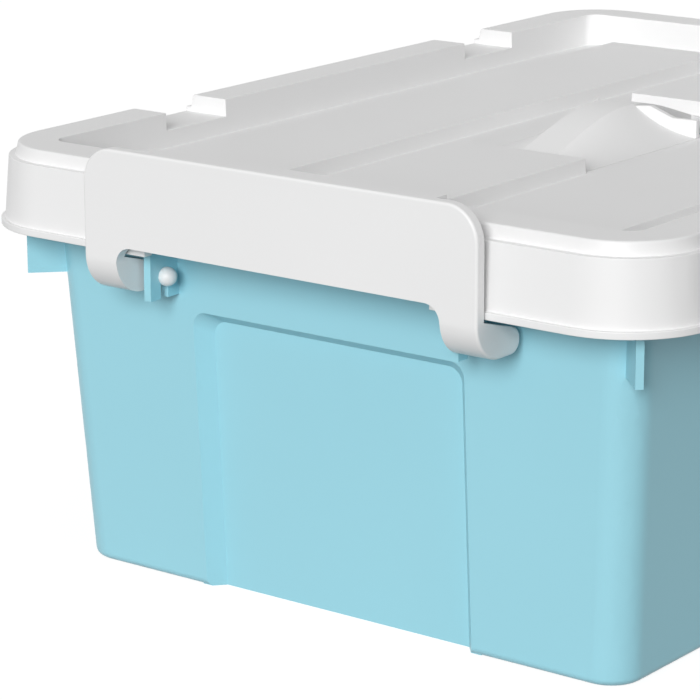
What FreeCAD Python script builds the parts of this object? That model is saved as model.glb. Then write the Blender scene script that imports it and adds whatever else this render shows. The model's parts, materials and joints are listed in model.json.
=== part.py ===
import FreeCAD, Part
import math
import os

# Storage box with a lift-off lid, a lift-out tray and a swing latch at each short end.
# Frame: origin under the middle of the floor, X across the box, Y along it, Z up, millimetres.

# How close to a face an edge lies to count as on it
on_face = 0.01

# Tub
tub_foot_width = 192.0
tub_foot_length = 277.8
tub_corner_radius = 10.2
tub_height = 113.7
tub_draft = 0.054
tub_wall = 2.4
tub_floor = 2.8
tub_foot_round = 2.5
rim_reach = 10.5
rim_thickness = 2.4
rim_lip_drop = 4.5
rim_lip_wall = 2.0

# Hollow panel in each end wall, open at the foot
panel_width = 94.6
panel_depth = 4.6
panel_height = 84.0
panel_side_slope = 4.0
panel_top_slope = 3.0
panel_corner_radius = 4.5

# Corner fins under the lid's overhang
fin_length = 11.5
fin_thickness = 2.2
fin_drop = 15.0

# Ribs inside the tub that carry the tray
rib_thickness = 3.0
rib_depth = 5.0
rib_height = 61.0
rib_offset = 85.0

# Lid: bead, skirt, shoulder and crown, from the bottom up
lid_overhang = 6.26
lid_skirt_drop = 10.8
bead_height = 2.0
bead_reach = 1.2
skirt_lean = 1.5
skirt_height = 18.4
shoulder_width = 2.0
lid_crown = 3.9
crown_lean = 0.8
lid_wall = 2.2
lid_top_round = 0.8
seat_gap = 0.3
seat_rib_wall = 2.0

# Lid's sunk floor and the raised decks on it
rim_top_width = 13.2
well_depth = 10.8
well_lean = 0.4
well_radius = 5.0
deck_height = 4.6
deck_edge_lean = 0.5
deck_side_gap = 19.0
deck_end_gap = 15.7
groove_width = 14.6
centre_deck_width = 45.2
handle_pocket_length = 96.0
rim_notch_length = 28.0
rim_notch_depth = 5.4
rim_notch_place = 78.0
finger_notch_width = 98.0
finger_notch_height = 5.0

# Carry handle set into the lid
handle_length = 89.0
handle_width = 43.0
handle_rise = 10.6
handle_end_step = 0.4
handle_wall = 2.6
handle_seam = 0.2
handle_flange = 2.5
handle_flange_thickness = 1.8
strap_width = 11.8
strap_ease = 0.4
flank_knee_out = 0.42
flank_knee_up = 0.28
window_start = 4.0
window_skew = 12.0
window_end_gap = 6.0
collar_wall = 1.8
collar_top_drop = 0.6
collar_bend_height = 6.4
collar_end_height = 5.5
collar_root_share = -0.1
collar_level_share = 0.26
collar_bend_share = 0.62

# Latches
latch_width = 134.8
latch_wall = 3.2
latch_standoff = 1.2
latch_top_above_lid = 6.2
latch_low_edge_above_bead = 3.0
latch_edge_round = 0.8
latch_corner_radius = 10.0
latch_inner_round = 5.0
hook_width = 100.0
hook_overlap = 1.0
hook_gap = 2.2
hook_wall = 2.2
hook_top_drop = 0.8
arm_width = 11.8
arm_wall = 3.2
arm_bend_radius = 11.0
arm_end_radius = 3.8
arm_bead_gap = 0.5
pivot_from_wall = 6.0
pivot_below_bead = 8.0
pin_radius = 2.45
pin_clearance = 0.05
pin_head_radius = 2.8
pin_head_reach = 4.0
pin_head_gap = 0.2
ear_thickness = 2.4
ear_arm_gap = 1.2
ear_front_wall = 5.9
ear_drop = 6.5
ear_slot_width = 3.2

# Tray
tray_height = 30.0
tray_wall = 1.8
tray_floor = 2.0
tray_gap = 1.0
tray_corner_radius = 11.0
tray_cross_count = 2
tray_grip_width = 70.0
tray_grip_rise = 12.0
tray_grip_radius = 4.0


def rounded_outline(half_x, half_y, radius, z):
    corners = [(1, 1, 0), (-1, 1, 90), (-1, -1, 180), (1, -1, 270)]
    arcs = []
    for sign_x, sign_y, start in corners:
        centre = FreeCAD.Vector(sign_x * (half_x - radius), sign_y * (half_y - radius), z)
        points = []
        for turn in (0, 45, 90):
            angle = math.radians(start + turn)
            points.append(centre + FreeCAD.Vector(radius * math.cos(angle), radius * math.sin(angle), 0))
        arcs.append(points)
    edges = []
    for index, points in enumerate(arcs):
        edges.append(Part.Arc(*points).toShape())
        edges.append(Part.makeLine(points[2], arcs[(index + 1) % 4][0]))
    return Part.Wire(edges)


def tapered_block(lower, upper):
    return Part.makeLoft([rounded_outline(*lower), rounded_outline(*upper)], True, True)


def box_between(low, high):
    size = [high[axis] - low[axis] for axis in range(3)]
    return Part.makeBox(size[0], size[1], size[2], FreeCAD.Vector(*low))


def centred_box(half_x, half_y, z_low, z_high):
    return box_between((-half_x, -half_y, z_low), (half_x, half_y, z_high))


def prism(points, direction):
    vectors = [FreeCAD.Vector(*point) for point in points]
    return Part.Face(Part.makePolygon(vectors + vectors[:1])).extrude(FreeCAD.Vector(*direction))


def turned_half(shape):
    return shape.rotated(FreeCAD.Vector(0, 0, 0), FreeCAD.Vector(0, 0, 1), 180)


def mirrored_x(shape):
    return shape.mirror(FreeCAD.Vector(0, 0, 0), FreeCAD.Vector(1, 0, 0))


def mirrored_y(shape):
    return shape.mirror(FreeCAD.Vector(0, 0, 0), FreeCAD.Vector(0, 1, 0))


def joined(shapes):
    return shapes[0].multiFuse(shapes[1:]).removeSplitter()


# Heights and half sizes that several pieces share
bead_z = tub_height - lid_skirt_drop
skirt_z = bead_z + bead_height
shoulder_z = skirt_z + skirt_height
lid_top_z = shoulder_z + lid_crown
floor_z = lid_top_z - well_depth
deck_z = floor_z + deck_height


def tub_half_x(z):
    return tub_foot_width / 2 + tub_draft * z


def tub_half_y(z):
    return tub_foot_length / 2 + tub_draft * z


def tub_section(z, inset):
    return (tub_half_x(z) - inset, tub_half_y(z) - inset, tub_corner_radius - inset, z)


def rim_section(z, inset):
    return (rim_half_x - inset, rim_half_y - inset, rim_radius - inset, z)


rim_half_x = tub_half_x(tub_height) + rim_reach
rim_half_y = tub_half_y(tub_height) + rim_reach
rim_radius = tub_corner_radius + rim_reach
bead_half_x = rim_half_x + lid_overhang
bead_half_y = rim_half_y + lid_overhang
bead_radius = rim_radius + lid_overhang
crown_low_inset = bead_reach + skirt_lean + shoulder_width
crown_inset = crown_low_inset + crown_lean
lid_top_half_x = bead_half_x - crown_inset
lid_top_half_y = bead_half_y - crown_inset
pivot_z = bead_z - pivot_below_bead
pivot_y = tub_half_y(pivot_z) + pivot_from_wall
arm_outer_x = latch_width / 2
arm_inner_x = arm_outer_x - arm_width
ear_outer_x = arm_inner_x - ear_arm_gap
ear_inner_x = ear_outer_x - ear_thickness
latch_outer_y = -bead_half_y - latch_standoff - latch_wall
latch_inner_y = latch_outer_y + latch_wall
latch_top_z = lid_top_z + latch_top_above_lid
latch_low_z = bead_z + latch_low_edge_above_bead


def panel_outline(half_width, top_z, radius, depth):
    # Outline of the panel at a depth behind the end wall's face, leaning with the wall.
    low_z = -panel_depth
    diagonal = radius * (1 - math.cos(math.pi / 4))

    def spot(x, z):
        return FreeCAD.Vector(x, depth - tub_half_y(z), z)

    corners = []
    for side in (1, -1):
        corners.append(
            [
                spot(side * half_width, top_z - radius),
                spot(side * (half_width - diagonal), top_z - diagonal),
                spot(side * (half_width - radius), top_z),
            ]
        )
    right, left = corners
    return Part.Wire(
        [
            Part.makeLine(spot(-half_width, low_z), spot(half_width, low_z)),
            Part.makeLine(spot(half_width, low_z), right[0]),
            Part.Arc(*right).toShape(),
            Part.makeLine(right[2], left[2]),
            Part.Arc(*reversed(left)).toShape(),
            Part.makeLine(left[0], spot(-half_width, low_z)),
        ]
    )


def end_panel_cutter():
    # Slanted sides and top, cut into the wall at -Y.
    outer = (panel_width / 2, panel_height, panel_corner_radius)
    inner = (outer[0] - panel_side_slope, outer[1] - panel_top_slope, panel_corner_radius)
    depths = [(outer, -panel_depth), (outer, 0), (inner, panel_depth)]
    return Part.makeLoft([panel_outline(*shape, depth) for shape, depth in depths], True, True)


def end_panel_backing():
    # The same panel, one wall deeper, so that the wall keeps its thickness behind it.
    outer_half = panel_width / 2 + tub_wall
    depth = panel_depth + tub_wall
    top = panel_height + tub_wall
    wall_low = -tub_half_y(0) + tub_wall / 2
    wall_top = -tub_half_y(top) + tub_wall / 2
    reach_low = -tub_half_y(0) + depth
    reach_top = -tub_half_y(top) + depth
    return prism(
        [
            (-outer_half, wall_low, 0),
            (-outer_half, reach_low, 0),
            (-outer_half, reach_top, top - panel_top_slope),
            (-outer_half, wall_top, top),
        ],
        (2 * outer_half, 0, 0),
    )


def latch_ear():
    # Plate that stands out of the end wall at -Y, with a slot for the latch's pin, open below.
    front_y = -pivot_y - ear_front_wall
    back_y = -tub_half_y(pivot_z - ear_drop) + tub_wall / 2
    low_z = pivot_z - ear_drop
    top_z = tub_height - rim_thickness / 2
    plate = box_between((ear_inner_x, front_y, low_z), (ear_outer_x, back_y, top_z))
    bore_radius = pin_radius + pin_clearance
    bore = Part.makeCylinder(
        bore_radius, ear_thickness, FreeCAD.Vector(ear_inner_x, -pivot_y, pivot_z), FreeCAD.Vector(1, 0, 0)
    )
    slot_half = ear_slot_width / 2
    slot = box_between(
        (ear_inner_x, -pivot_y - slot_half, low_z), (ear_outer_x, -pivot_y + slot_half, pivot_z)
    )
    return plate.cut(bore.fuse(slot))


def corner_fin():
    # Upright fin on the corner's diagonal, from the rim down past the lid's bead.
    low_z = bead_z - fin_drop
    corner_inset = tub_corner_radius * (1 - math.cos(math.pi / 4))
    start_x = tub_half_x(low_z) - corner_inset
    start_y = tub_half_y(low_z) - corner_inset
    plate = box_between(
        (-tub_wall / 2, -fin_thickness / 2, low_z),
        (fin_length, fin_thickness / 2, tub_height - rim_thickness / 2),
    )
    plate = plate.rotated(FreeCAD.Vector(0, 0, 0), FreeCAD.Vector(0, 0, 1), -45)
    return plate.translated(FreeCAD.Vector(start_x, -start_y, 0))


def tray_rib():
    inner_x = tub_half_x(rib_height) - tub_wall - rib_depth
    outer_x = tub_half_x(0) - tub_wall / 2
    return box_between(
        (inner_x, rib_offset - rib_thickness / 2, tub_floor / 2),
        (outer_x, rib_offset + rib_thickness / 2, rib_height),
    )


def make_tub():
    outside = tapered_block(tub_section(0, 0), tub_section(tub_height, 0))
    foot_edges = [edge for edge in outside.Edges if edge.BoundBox.ZMax < on_face]
    outside = outside.makeFillet(tub_foot_round, foot_edges)
    inside = tapered_block(tub_section(tub_floor, tub_wall), tub_section(tub_height, tub_wall))
    over = tub_height - rim_thickness
    rim = tapered_block(rim_section(over, 0), rim_section(tub_height, 0))
    lip_low = over - rim_lip_drop
    lip = tapered_block(rim_section(lip_low, 0), rim_section(over, 0))
    lip = lip.cut(tapered_block(rim_section(lip_low, rim_lip_wall), rim_section(over, rim_lip_wall)))
    ear = latch_ear()
    fin = corner_fin()
    ears = [ear, mirrored_x(ear)]
    fins = [fin, mirrored_x(fin)]
    backing = end_panel_backing()
    cutter = end_panel_cutter()
    rib = tray_rib()
    ribs = [rib, mirrored_x(rib), mirrored_y(rib), turned_half(rib)]
    shell = joined([outside, rim, lip] + ears + fins + [turned_half(piece) for piece in ears + fins])
    shell = shell.cut(inside)
    shell = joined([shell, backing, turned_half(backing)] + ribs)
    shell = shell.cut(cutter).cut(turned_half(cutter))
    return shell.removeSplitter()


def lid_section(inset, z):
    return (bead_half_x - inset, bead_half_y - inset, bead_radius - inset, z)


def well_section(z, grow):
    lean = well_lean * (lid_top_z - z) / well_depth
    half_x = lid_top_half_x - rim_top_width - lean + grow
    half_y = lid_top_half_y - rim_top_width - lean + grow
    return (half_x, half_y, well_radius + grow, z)


def flared_bar(half_width, lean, y_low, y_high, z_low, z_high):
    # Lengthwise bar whose long sides lean in towards the top.
    return prism(
        [
            (-half_width - lean, y_low, z_low),
            (half_width + lean, y_low, z_low),
            (half_width, y_low, z_high),
            (-half_width, y_low, z_high),
        ],
        (0, y_high - y_low, 0),
    )


def deck_places():
    # Half width, middle across the lid and two ends of each raised deck.
    end_x = well_section(lid_top_z, 0)[0] - deck_side_gap
    end_y = well_section(lid_top_z, 0)[1] - deck_end_gap
    side_start = centre_deck_width / 2 + groove_width
    side_half = (end_x - side_start) / 2
    side_middle = (end_x + side_start) / 2
    pocket_y = handle_pocket_length / 2
    return [
        (side_half, side_middle, -end_y, end_y),
        (side_half, -side_middle, -end_y, end_y),
        (centre_deck_width / 2, 0, pocket_y, end_y),
        (centre_deck_width / 2, 0, -end_y, -pocket_y),
    ]


def rim_notch(place, grow):
    # Low stretch of both long rims, centred at place along the box.
    half = rim_notch_length / 2 + grow
    low_z = lid_top_z - rim_notch_depth - grow
    inner_x = lid_top_half_x - rim_top_width - well_lean
    right = box_between((inner_x, place - half, low_z), (bead_half_x, place + half, lid_top_z))
    return right.fuse(mirrored_x(right))


def lid_seat():
    # Ring under the rim that rests on the tub's rim.
    low_z = tub_height + seat_gap
    top_z = lid_top_z - lid_wall / 2
    outer = rim_reach / 2
    inner = outer + seat_rib_wall
    ring = tapered_block(rim_section(low_z, outer), rim_section(top_z, outer))
    return ring.cut(tapered_block(rim_section(low_z, inner), rim_section(top_z, inner)))


def make_lid():
    bead = tapered_block(lid_section(0, bead_z), lid_section(0, skirt_z))
    skirt = tapered_block(lid_section(bead_reach, skirt_z), lid_section(bead_reach + skirt_lean, shoulder_z))
    crown = tapered_block(lid_section(crown_low_inset, shoulder_z), lid_section(crown_inset, lid_top_z))
    outside = joined([bead, skirt, crown])
    top_edges = [edge for edge in outside.Edges if edge.BoundBox.ZMin > lid_top_z - on_face]
    outside = outside.makeFillet(lid_top_round, top_edges)
    cavity = tapered_block(
        lid_section(bead_reach + lid_wall, bead_z), lid_section(crown_inset + lid_wall, lid_top_z - lid_wall)
    )
    pan = tapered_block(well_section(floor_z - lid_wall, lid_wall), well_section(lid_top_z, lid_wall))
    well = tapered_block(well_section(floor_z, 0), well_section(lid_top_z, 0))
    shell = joined([outside.cut(cavity), pan, lid_seat()]).cut(well)
    decks = []
    hollows = []
    for half_width, middle, y_low, y_high in deck_places():
        place = FreeCAD.Vector(middle, 0, 0)
        deck = flared_bar(half_width, deck_edge_lean, y_low, y_high, floor_z - lid_wall / 2, deck_z)
        inner_half = half_width - lid_wall
        inner_top = deck_z - lid_wall
        hollow = flared_bar(inner_half, 0, y_low + lid_wall, y_high - lid_wall, floor_z - lid_wall, inner_top)
        decks.append(deck.translated(place))
        hollows.append(hollow.translated(place))
    shell = joined([shell] + decks)
    for hollow in hollows:
        shell = shell.cut(hollow)
    for place in (-rim_notch_place, rim_notch_place):
        backing = rim_notch(place, lid_wall).common(outside)
        shell = joined([shell, backing.cut(well)])
        shell = shell.cut(rim_notch(place, 0))
    finger_half = finger_notch_width / 2
    finger = box_between(
        (-finger_half, -bead_half_y, bead_z),
        (finger_half, -lid_top_half_y + lid_wall, bead_z + finger_notch_height),
    )
    shell = shell.cut(finger).cut(turned_half(finger))
    opening = centred_box(handle_width / 2, handle_length / 2, floor_z - lid_wall, floor_z)
    return shell.cut(opening).removeSplitter()


handle_half_length = handle_length / 2 - handle_seam
handle_half_width = handle_width / 2 - handle_seam


def strap_top(y):
    # An arch that eases out into the floor at both ends.
    share = y / handle_half_length
    arch = 1 - share ** 2
    wave = (1 + math.cos(math.pi * share)) / 2
    return floor_z + handle_end_step + handle_rise * (arch + strap_ease * (wave - arch))


def handle_section(y, inset, low_z):
    # Cross-section of the handle's hump at y: flat strap above, hollow flanks, straight foot.
    top_z = strap_top(y) - inset
    foot_z = floor_z - inset
    strap_half = strap_width / 2 - inset
    foot_half = handle_half_width - inset
    knee_x = strap_half + (foot_half - strap_half) * flank_knee_out
    knee_z = foot_z + (top_z - foot_z) * flank_knee_up
    flanks = []
    for side in (1, -1):
        curve = Part.BezierCurve()
        curve.setPoles(
            [
                FreeCAD.Vector(side * strap_half, y, top_z),
                FreeCAD.Vector(side * knee_x, y, knee_z),
                FreeCAD.Vector(side * foot_half, y, foot_z),
            ]
        )
        flanks.append(curve.toShape())
    right_low = FreeCAD.Vector(foot_half, y, low_z)
    left_low = FreeCAD.Vector(-foot_half, y, low_z)
    top = Part.makeLine(FreeCAD.Vector(-strap_half, y, top_z), FreeCAD.Vector(strap_half, y, top_z))
    right_wall = Part.makeLine(FreeCAD.Vector(foot_half, y, foot_z), right_low)
    low_side = Part.makeLine(right_low, left_low)
    left_wall = Part.makeLine(left_low, FreeCAD.Vector(-foot_half, y, foot_z))
    return Part.Wire(Part.__sortEdges__([top, flanks[0], right_wall, low_side, left_wall, flanks[1]]))


def window_edge_y(x):
    # The finger window's near edge runs back towards the outside of the flank.
    start_x = strap_width / 2
    return window_start + window_skew * (x - start_x) / (handle_half_width - start_x)


def finger_window():
    # Opening in the far half of a flank, through to the hollow under the strap.
    start_x = strap_width / 2
    end_y = handle_half_length - window_end_gap
    top_z = strap_top(0) + handle_wall
    pieces = []
    for reach_x, low_z in ((handle_width, floor_z), (handle_half_width - handle_wall, bead_z)):
        outline = [
            (start_x, window_edge_y(start_x), low_z),
            (reach_x, window_edge_y(reach_x), low_z),
            (reach_x, end_y, low_z),
            (start_x, end_y, low_z),
        ]
        pieces.append(prism(outline, (0, 0, top_z - low_z)))
    return pieces[0].fuse(pieces[1])


def handle_collar():
    # Wall across the flank along the finger window's near edge.
    start_x = strap_width / 2
    low_z = floor_z - lid_wall / 2
    level_z = strap_top(window_start) - collar_top_drop
    outline = [
        (collar_root_share, low_z),
        (collar_root_share, level_z),
        (collar_level_share, level_z),
        (collar_bend_share, floor_z + collar_bend_height),
        (1, floor_z + collar_end_height),
        (1, low_z),
    ]
    points = []
    for share, z in outline:
        x = start_x + share * (handle_half_width - start_x)
        points.append((x, window_edge_y(x), z))
    return prism(points, (0, collar_wall, 0))


def make_handle():
    shares = (-1, -0.75, -0.5, -0.25, 0, 0.25, 0.5, 0.75, 1)
    flange_top = floor_z - lid_wall - handle_seam
    flange_low = flange_top - handle_flange_thickness
    core_half = handle_half_length - handle_wall
    core_low = flange_low - handle_wall
    hump_sections = [handle_section(share * handle_half_length, 0, flange_low) for share in shares]
    core_sections = [handle_section(share * core_half, handle_wall, core_low) for share in shares]
    hump = Part.makeLoft(hump_sections, True, False)
    core = Part.makeLoft(core_sections, True, False)
    flange = centred_box(
        handle_width / 2 + handle_flange, handle_length / 2 + handle_flange, flange_low, flange_top
    )
    window = finger_window()
    collar = handle_collar()
    handle = joined([hump, flange]).cut(core).cut(window).cut(mirrored_x(window))
    return joined([handle, collar, mirrored_x(collar)])


def latch_plate():
    # Straight below, with rounded upper corners.
    half = arm_outer_x
    top_z = latch_top_z
    radius = latch_corner_radius
    diagonal = radius * (1 - math.cos(math.pi / 4))

    def spot(x, z):
        return FreeCAD.Vector(x, latch_outer_y, z)

    edges = [
        Part.makeLine(spot(-half, latch_low_z), spot(half, latch_low_z)),
        Part.makeLine(spot(half, latch_low_z), spot(half, top_z - radius)),
        Part.Arc(
            spot(half, top_z - radius), spot(half - diagonal, top_z - diagonal), spot(half - radius, top_z)
        ).toShape(),
        Part.makeLine(spot(half - radius, top_z), spot(radius - half, top_z)),
        Part.Arc(
            spot(radius - half, top_z), spot(diagonal - half, top_z - diagonal), spot(-half, top_z - radius)
        ).toShape(),
        Part.makeLine(spot(-half, top_z - radius), spot(-half, latch_low_z)),
    ]
    return Part.Face(Part.Wire(edges)).extrude(FreeCAD.Vector(0, latch_wall, 0))


def latch_arm():
    # Solid arm from the plate's lower edge, rounded in front, back to the pin.
    inner_y = latch_outer_y + arm_wall
    low_z = pivot_z - arm_end_radius
    bend_y = latch_outer_y + arm_bend_radius
    bend_z = low_z + arm_bend_radius
    diagonal = arm_bend_radius * (1 - math.cos(math.pi / 4))

    def spot(y, z):
        return FreeCAD.Vector(arm_inner_x, y, z)

    end_top = spot(-pivot_y, pivot_z + arm_end_radius)
    under_bead = spot(inner_y, bead_z - arm_bead_gap)
    outline = [
        Part.makeLine(spot(inner_y, latch_low_z), spot(latch_outer_y, latch_low_z)),
        Part.makeLine(spot(latch_outer_y, latch_low_z), spot(latch_outer_y, bend_z)),
        Part.Arc(
            spot(latch_outer_y, bend_z),
            spot(latch_outer_y + diagonal, low_z + diagonal),
            spot(bend_y, low_z),
        ).toShape(),
        Part.makeLine(spot(bend_y, low_z), spot(-pivot_y, low_z)),
        Part.makeLine(spot(-pivot_y, low_z), end_top),
        Part.makeLine(end_top, under_bead),
        Part.makeLine(under_bead, spot(inner_y, latch_low_z)),
    ]
    arm = Part.Face(Part.Wire(outline)).extrude(FreeCAD.Vector(arm_width, 0, 0))
    outer_edges = []
    for edge in arm.Edges:
        box = edge.BoundBox
        in_front = box.YMin < latch_outer_y + on_face and box.ZMin < latch_low_z - on_face
        if box.XMin > arm_outer_x - on_face and (in_front or box.ZMax < low_z + on_face):
            outer_edges.append(edge)
    end = Part.makeCylinder(arm_end_radius, arm_width, spot(-pivot_y, pivot_z), FreeCAD.Vector(1, 0, 0))
    end_edges = [edge for edge in end.Edges if edge.BoundBox.XMin > arm_outer_x - on_face]
    arm = arm.makeFillet(latch_edge_round, outer_edges)
    return joined([arm, end.makeFillet(latch_edge_round, end_edges)])


def latch_pin():
    # Pin through the ear, with a ball-shaped head beyond it.
    head_start = ear_inner_x - pin_head_gap
    pin = Part.makeCylinder(
        pin_radius,
        arm_inner_x - head_start,
        FreeCAD.Vector(head_start, -pivot_y, pivot_z),
        FreeCAD.Vector(1, 0, 0),
    )
    middle = FreeCAD.Vector(ear_inner_x - pin_head_reach + pin_head_radius, -pivot_y, pivot_z)
    start_angle = math.degrees(math.asin((middle.x - head_start) / pin_head_radius))
    head = Part.makeSphere(pin_head_radius, middle, FreeCAD.Vector(-1, 0, 0), start_angle, 90, 360)
    return pin.fuse(head)


def latch_gusset():
    # Rounded inner corner between the plate's lower edge and the arm.
    radius = latch_inner_round
    corner_x = arm_inner_x - radius
    corner_z = latch_low_z - radius
    block = box_between((corner_x, latch_outer_y, corner_z), (arm_inner_x, latch_inner_y, latch_low_z))
    round_cut = Part.makeCylinder(
        radius, latch_wall, FreeCAD.Vector(corner_x, latch_outer_y, corner_z), FreeCAD.Vector(0, 1, 0)
    )
    return block.cut(round_cut)


def make_latch():
    hook_end_y = -lid_top_half_y + hook_overlap
    plate = latch_plate()
    front_edges = []
    for edge in plate.Edges:
        box = edge.BoundBox
        if box.YMax < latch_outer_y + on_face and box.ZMax > latch_low_z + on_face:
            front_edges.append(edge)
    plate = plate.makeFillet(latch_edge_round, front_edges)
    hook_half = hook_width / 2
    hook_top = latch_top_z - hook_top_drop
    hook_root_y = latch_inner_y - latch_wall / 2
    bridge = box_between((-hook_half, hook_root_y, hook_top - hook_wall), (hook_half, hook_end_y, hook_top))
    lip = box_between(
        (-hook_half, hook_end_y - hook_wall, lid_top_z + hook_gap), (hook_half, hook_end_y, hook_top)
    )
    side = joined([latch_arm(), latch_pin()])
    gusset = latch_gusset()
    return joined([plate, bridge, lip, side, mirrored_x(side), gusset, mirrored_x(gusset)])


def tray_section(z, inset):
    wall_z = rib_height + seat_gap + z
    half_x, half_y = tub_section(wall_z, tub_wall + tray_gap + inset)[:2]
    reach = panel_depth + tub_wall
    return (half_x, half_y - reach, tray_corner_radius - inset, wall_z)


def make_tray():
    outside = tapered_block(tray_section(0, 0), tray_section(tray_height, 0))
    inside = tapered_block(tray_section(tray_floor, tray_wall), tray_section(tray_height, tray_wall))
    half_x, half_y = tray_section(0, tray_wall / 2)[:2]
    low_z = rib_height + seat_gap + tray_floor / 2
    top_z = rib_height + seat_gap + tray_height
    half_wall = tray_wall / 2
    walls = [box_between((-half_wall, -half_y, low_z), (half_wall, half_y, top_z))]
    pitch = 2 * half_y / (tray_cross_count + 1)
    for index in range(tray_cross_count):
        place = -half_y + pitch * (index + 1)
        walls.append(box_between((-half_x, place - half_wall, low_z), (0, place + half_wall, top_z)))
    grip_half = tray_grip_width / 2
    grip_z = top_z + tray_grip_rise
    walls.append(box_between((-half_wall, -grip_half, low_z), (half_wall, grip_half, grip_z)))
    grip = Part.makeCylinder(
        tray_grip_radius, tray_grip_width, FreeCAD.Vector(0, -grip_half, grip_z), FreeCAD.Vector(0, 1, 0)
    )
    return joined([outside.cut(inside)] + walls + [grip])


front_latch = make_latch()
nodes = {
    "tub": make_tub(),
    "lid": make_lid(),
    "carry_handle": make_handle(),
    "front_latch": front_latch,
    "rear_latch": turned_half(front_latch),
    "lift_out_tray": make_tray(),
}

os.makedirs("parts", exist_ok=True)
for name, shape in nodes.items():
    shape.exportStep(os.path.join("parts", name + ".step"))
    print(name, shape.isValid(), len(shape.Solids), round(shape.Volume))
print("latch pivot", round(pivot_y, 4), round(pivot_z, 4), "lid top", round(lid_top_z, 2))
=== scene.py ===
import json
import math

import bmesh
import bpy
from mathutils import Matrix, Vector


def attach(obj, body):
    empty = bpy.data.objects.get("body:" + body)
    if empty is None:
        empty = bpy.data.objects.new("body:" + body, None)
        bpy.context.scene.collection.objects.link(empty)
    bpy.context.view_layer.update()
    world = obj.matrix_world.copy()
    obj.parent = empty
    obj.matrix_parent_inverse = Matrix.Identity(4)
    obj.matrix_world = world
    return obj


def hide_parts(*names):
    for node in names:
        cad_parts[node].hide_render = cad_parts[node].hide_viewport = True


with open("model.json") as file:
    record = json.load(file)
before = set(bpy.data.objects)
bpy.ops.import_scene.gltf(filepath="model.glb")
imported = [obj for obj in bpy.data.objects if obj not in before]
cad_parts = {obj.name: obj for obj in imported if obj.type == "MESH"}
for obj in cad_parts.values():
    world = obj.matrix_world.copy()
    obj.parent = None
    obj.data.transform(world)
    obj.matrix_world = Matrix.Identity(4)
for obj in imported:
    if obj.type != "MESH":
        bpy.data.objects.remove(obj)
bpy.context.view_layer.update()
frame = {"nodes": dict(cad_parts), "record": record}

print("frame loaded:", sorted(frame["nodes"]))

whitePlastic = {
    "colour": (0.88, 0.88, 0.88),
    "darker": 0.035,  # how far the tone drifts each way
    "lighter": 0.0175,
    "driftScale": 14.0,
    "driftDetail": 3.0,
    "roughness": 0.42,
    "ior": 1.49,
    "grainScale": 900.0,
    "grainDetail": 2.0,
    "grainHeight": 0.00002,  # metres
    "grainStrength": 0.25,
}

# the same plastic, dyed and a little smoother
bluePlastic = {**whitePlastic, "colour": (0.356, 0.708, 0.815), "roughness": 0.40}


def makePlastic(name, look):
    material = bpy.data.materials.new(name)
    material.use_nodes = True
    tree = material.node_tree
    shader = tree.nodes["Principled BSDF"]
    shader.inputs["Roughness"].default_value = look["roughness"]
    shader.inputs["IOR"].default_value = look["ior"]
    place = tree.nodes.new("ShaderNodeTexCoord")
    # slow drift of tone across the moulding
    drift = tree.nodes.new("ShaderNodeTexNoise")
    drift.inputs["Scale"].default_value = look["driftScale"]
    drift.inputs["Detail"].default_value = look["driftDetail"]
    tree.links.new(place.outputs["Object"], drift.inputs["Vector"])
    tone = tree.nodes.new("ShaderNodeMix")
    tone.data_type = "RGBA"
    colour = Vector(look["colour"])
    tone.inputs["A"].default_value = (*(colour * (1 - look["darker"])), 1)
    tone.inputs["B"].default_value = (*(colour * (1 + look["lighter"])), 1)
    tree.links.new(drift.outputs["Fac"], tone.inputs["Factor"])
    tree.links.new(tone.outputs["Result"], shader.inputs["Base Color"])
    # fine spark-eroded grain of the mould
    grain = tree.nodes.new("ShaderNodeTexNoise")
    grain.inputs["Scale"].default_value = look["grainScale"]
    grain.inputs["Detail"].default_value = look["grainDetail"]
    tree.links.new(place.outputs["Object"], grain.inputs["Vector"])
    bump = tree.nodes.new("ShaderNodeBump")
    bump.inputs["Strength"].default_value = look["grainStrength"]
    bump.inputs["Distance"].default_value = look["grainHeight"]
    tree.links.new(grain.outputs["Fac"], bump.inputs["Height"])
    tree.links.new(bump.outputs["Normal"], shader.inputs["Normal"])
    return material


materials = {
    "white_plastic": makePlastic("whiteMouldedPlastic", whitePlastic),
    "blue_plastic": makePlastic("blueMouldedPlastic", bluePlastic),
}
print("materials made")

# edge rounding of each moulding, in metres
tub = {"rounding": 0.0007}
lid = {"rounding": 0.0006}
carryHandle = {"rounding": 0.0006}
latch = {"rounding": 0.0008}
liftOutTray = {"rounding": 0.0005}

mouldings = {
    "tub": tub,
    "lid": lid,
    "carry_handle": carryHandle,
    "front_latch": latch,
    "rear_latch": latch,
    "lift_out_tray": liftOutTray,
}

# how every moulding's mesh is cleaned and finished
meshFinish = {
    "mergeDistance": 1e-6,  # metres
    "flatAngle": 0.6,  # degrees; flatter edges are dissolved
    "roundAngle": 28.0,  # degrees; sharper edges are rounded
    "roundSegments": 3,
    "normalWeight": 100,
}


def cleanMesh(nodeName):
    mesh = frame["nodes"][nodeName].data.copy()
    work = bmesh.new()
    work.from_mesh(mesh)
    bmesh.ops.remove_doubles(work, verts=work.verts, dist=meshFinish["mergeDistance"])
    bmesh.ops.dissolve_limit(
        work,
        angle_limit=math.radians(meshFinish["flatAngle"]),
        verts=work.verts,
        edges=work.edges,
        delimit=set(),
    )
    work.to_mesh(mesh)
    work.free()
    mesh.shade_smooth()
    return mesh


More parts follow.
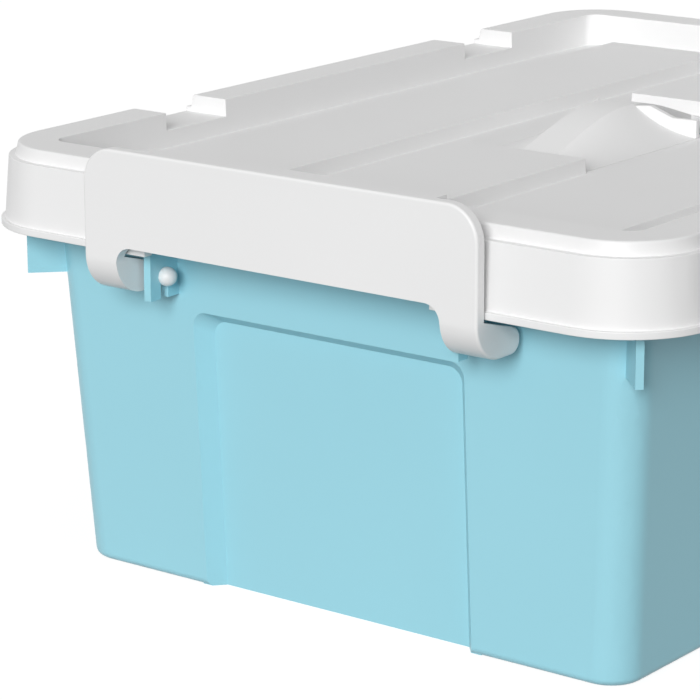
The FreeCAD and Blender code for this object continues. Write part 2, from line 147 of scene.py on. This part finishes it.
def roundedCopy(nodeName, pieceName, slotName, bodyName):
    piece = bpy.data.objects.new(pieceName, cleanMesh(nodeName))
    bpy.context.scene.collection.objects.link(piece)
    bevel = piece.modifiers.new("edges", "BEVEL")
    bevel.width = mouldings[nodeName]["rounding"]
    bevel.segments = meshFinish["roundSegments"]
    bevel.limit_method = "ANGLE"
    bevel.angle_limit = math.radians(meshFinish["roundAngle"])
    bevel.miter_outer = "MITER_ARC"
    # keeps the large faces flat between the rounded edges
    level = piece.modifiers.new("level", "WEIGHTED_NORMAL")
    level.weight = meshFinish["normalWeight"]
    level.keep_sharp = True
    depsgraph = bpy.context.evaluated_depsgraph_get()
    finished = bpy.data.meshes.new_from_object(piece.evaluated_get(depsgraph))
    piece.modifiers.clear()
    piece.data = finished
    finished.materials.clear()
    finished.materials.append(materials[slotName])
    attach(piece, bodyName)
    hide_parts(nodeName)
    print(pieceName, len(finished.polygons), "faces")


bodies = frame["record"]["behaviour"]["bodies"]
bodyOf = {node: body for body, nodes in bodies.items() for node in nodes}
slotOf = {row["node"]: row["material_slot"] for row in frame["record"]["subparts"]}
for nodeName in frame["nodes"]:
    roundedCopy(nodeName, nodeName + "_moulding", slotOf[nodeName], bodyOf[nodeName])
print("mouldings made")


# 1 on rays from the camera, off a gloss or through something clear, and 0 on the rest
def seenDirectly(tree):
    path = tree.nodes.new("ShaderNodeLightPath")
    seen = path.outputs["Is Camera Ray"]
    for ray in ("Is Glossy Ray", "Is Transmission Ray"):
        either = tree.nodes.new("ShaderNodeMath")
        either.operation = "MAXIMUM"
        tree.links.new(seen, either.inputs[0])
        tree.links.new(path.outputs[ray], either.inputs[1])
        seen = either.outputs[0]
    return seen


paleFloor = {
    "halfSize": 6.0,  # metres
    "colour": (0.28, 0.28, 0.28),
    "glow": 0.85,  # lifts the floor to white where it is seen or mirrored
}


def makeFloor():
    mesh = bpy.data.meshes.new("floor")
    half = paleFloor["halfSize"]
    corners = [(-half, -half, 0), (half, -half, 0), (half, half, 0), (-half, half, 0)]
    mesh.from_pydata(corners, [], [(0, 1, 2, 3)])
    floor = bpy.data.objects.new("floor", mesh)
    bpy.context.scene.collection.objects.link(floor)
    material = bpy.data.materials.new("paleFloor")
    material.use_nodes = True
    tree = material.node_tree
    tree.nodes.clear()
    output = tree.nodes.new("ShaderNodeOutputMaterial")
    surface = tree.nodes.new("ShaderNodeBsdfDiffuse")
    surface.inputs["Color"].default_value = (*paleFloor["colour"], 1)
    strength = tree.nodes.new("ShaderNodeMath")
    strength.operation = "MULTIPLY"
    strength.inputs[1].default_value = paleFloor["glow"]
    tree.links.new(seenDirectly(tree), strength.inputs[0])
    glow = tree.nodes.new("ShaderNodeEmission")
    tree.links.new(strength.outputs[0], glow.inputs["Strength"])
    both = tree.nodes.new("ShaderNodeAddShader")
    tree.links.new(surface.outputs[0], both.inputs[0])
    tree.links.new(glow.outputs[0], both.inputs[1])
    tree.links.new(both.outputs[0], output.inputs["Surface"])
    mesh.materials.append(material)


# soft studio light at a plain level
studioLight = {
    "keyFrom": (0.317, -0.871, 0.375),
    "keyStrength": 2.4,
    "keySpread": 28.0,  # degrees
    "fill": 0.33,
    "backdrop": 1.0,
}


def makeLight():
    world = bpy.data.worlds.new("studio")
    bpy.context.scene.world = world
    world.use_nodes = True
    tree = world.node_tree
    back = tree.nodes["Background"]
    back.inputs["Color"].default_value = (1, 1, 1, 1)
    level = tree.nodes.new("ShaderNodeMapRange")
    level.inputs["To Min"].default_value = studioLight["fill"]
    level.inputs["To Max"].default_value = studioLight["backdrop"]
    tree.links.new(seenDirectly(tree), level.inputs["Value"])
    tree.links.new(level.outputs["Result"], back.inputs["Strength"])
    lamp = bpy.data.lights.new("key", "SUN")
    lamp.energy = studioLight["keyStrength"]
    lamp.angle = math.radians(studioLight["keySpread"])
    key = bpy.data.objects.new("key", lamp)
    bpy.context.scene.collection.objects.link(key)
    key.rotation_mode = "QUATERNION"
    key.rotation_quaternion = Vector(studioLight["keyFrom"]).to_track_quat("Z", "Y")


# the photograph's view: place in metres, angles in degrees, lens and sensor in millimetres
cameraView = {
    "eye": (0.5193, -0.8092, 0.3087),
    "azimuth": 37.467,
    "elevation": 15.148,
    "roll": -0.201,
    "lens": 163.0,
    "sensor": 36.0,
}


def makeCamera():
    lens = bpy.data.cameras.new("camera")
    lens.lens = cameraView["lens"]
    lens.sensor_width = cameraView["sensor"]
    camera = bpy.data.objects.new("camera", lens)
    bpy.context.scene.collection.objects.link(camera)
    azimuth = math.radians(cameraView["azimuth"])
    elevation = math.radians(cameraView["elevation"])
    roll = math.radians(cameraView["roll"])
    level = math.cos(elevation)
    back = Vector((math.sin(azimuth) * level, -math.cos(azimuth) * level, math.sin(elevation)))
    right = Vector((math.cos(azimuth), math.sin(azimuth), 0))
    up = back.cross(right)
    turnedRight = right * math.cos(roll) + up * math.sin(roll)
    turnedUp = up * math.cos(roll) - right * math.sin(roll)
    matrix = Matrix((turnedRight, turnedUp, back)).transposed().to_4x4()
    matrix.translation = Vector(cameraView["eye"])
    camera.matrix_world = matrix
    bpy.context.scene.camera = camera


makeFloor()
makeLight()
makeCamera()
bpy.context.scene.view_settings.view_transform = "Standard"
print("stage, light and camera set")
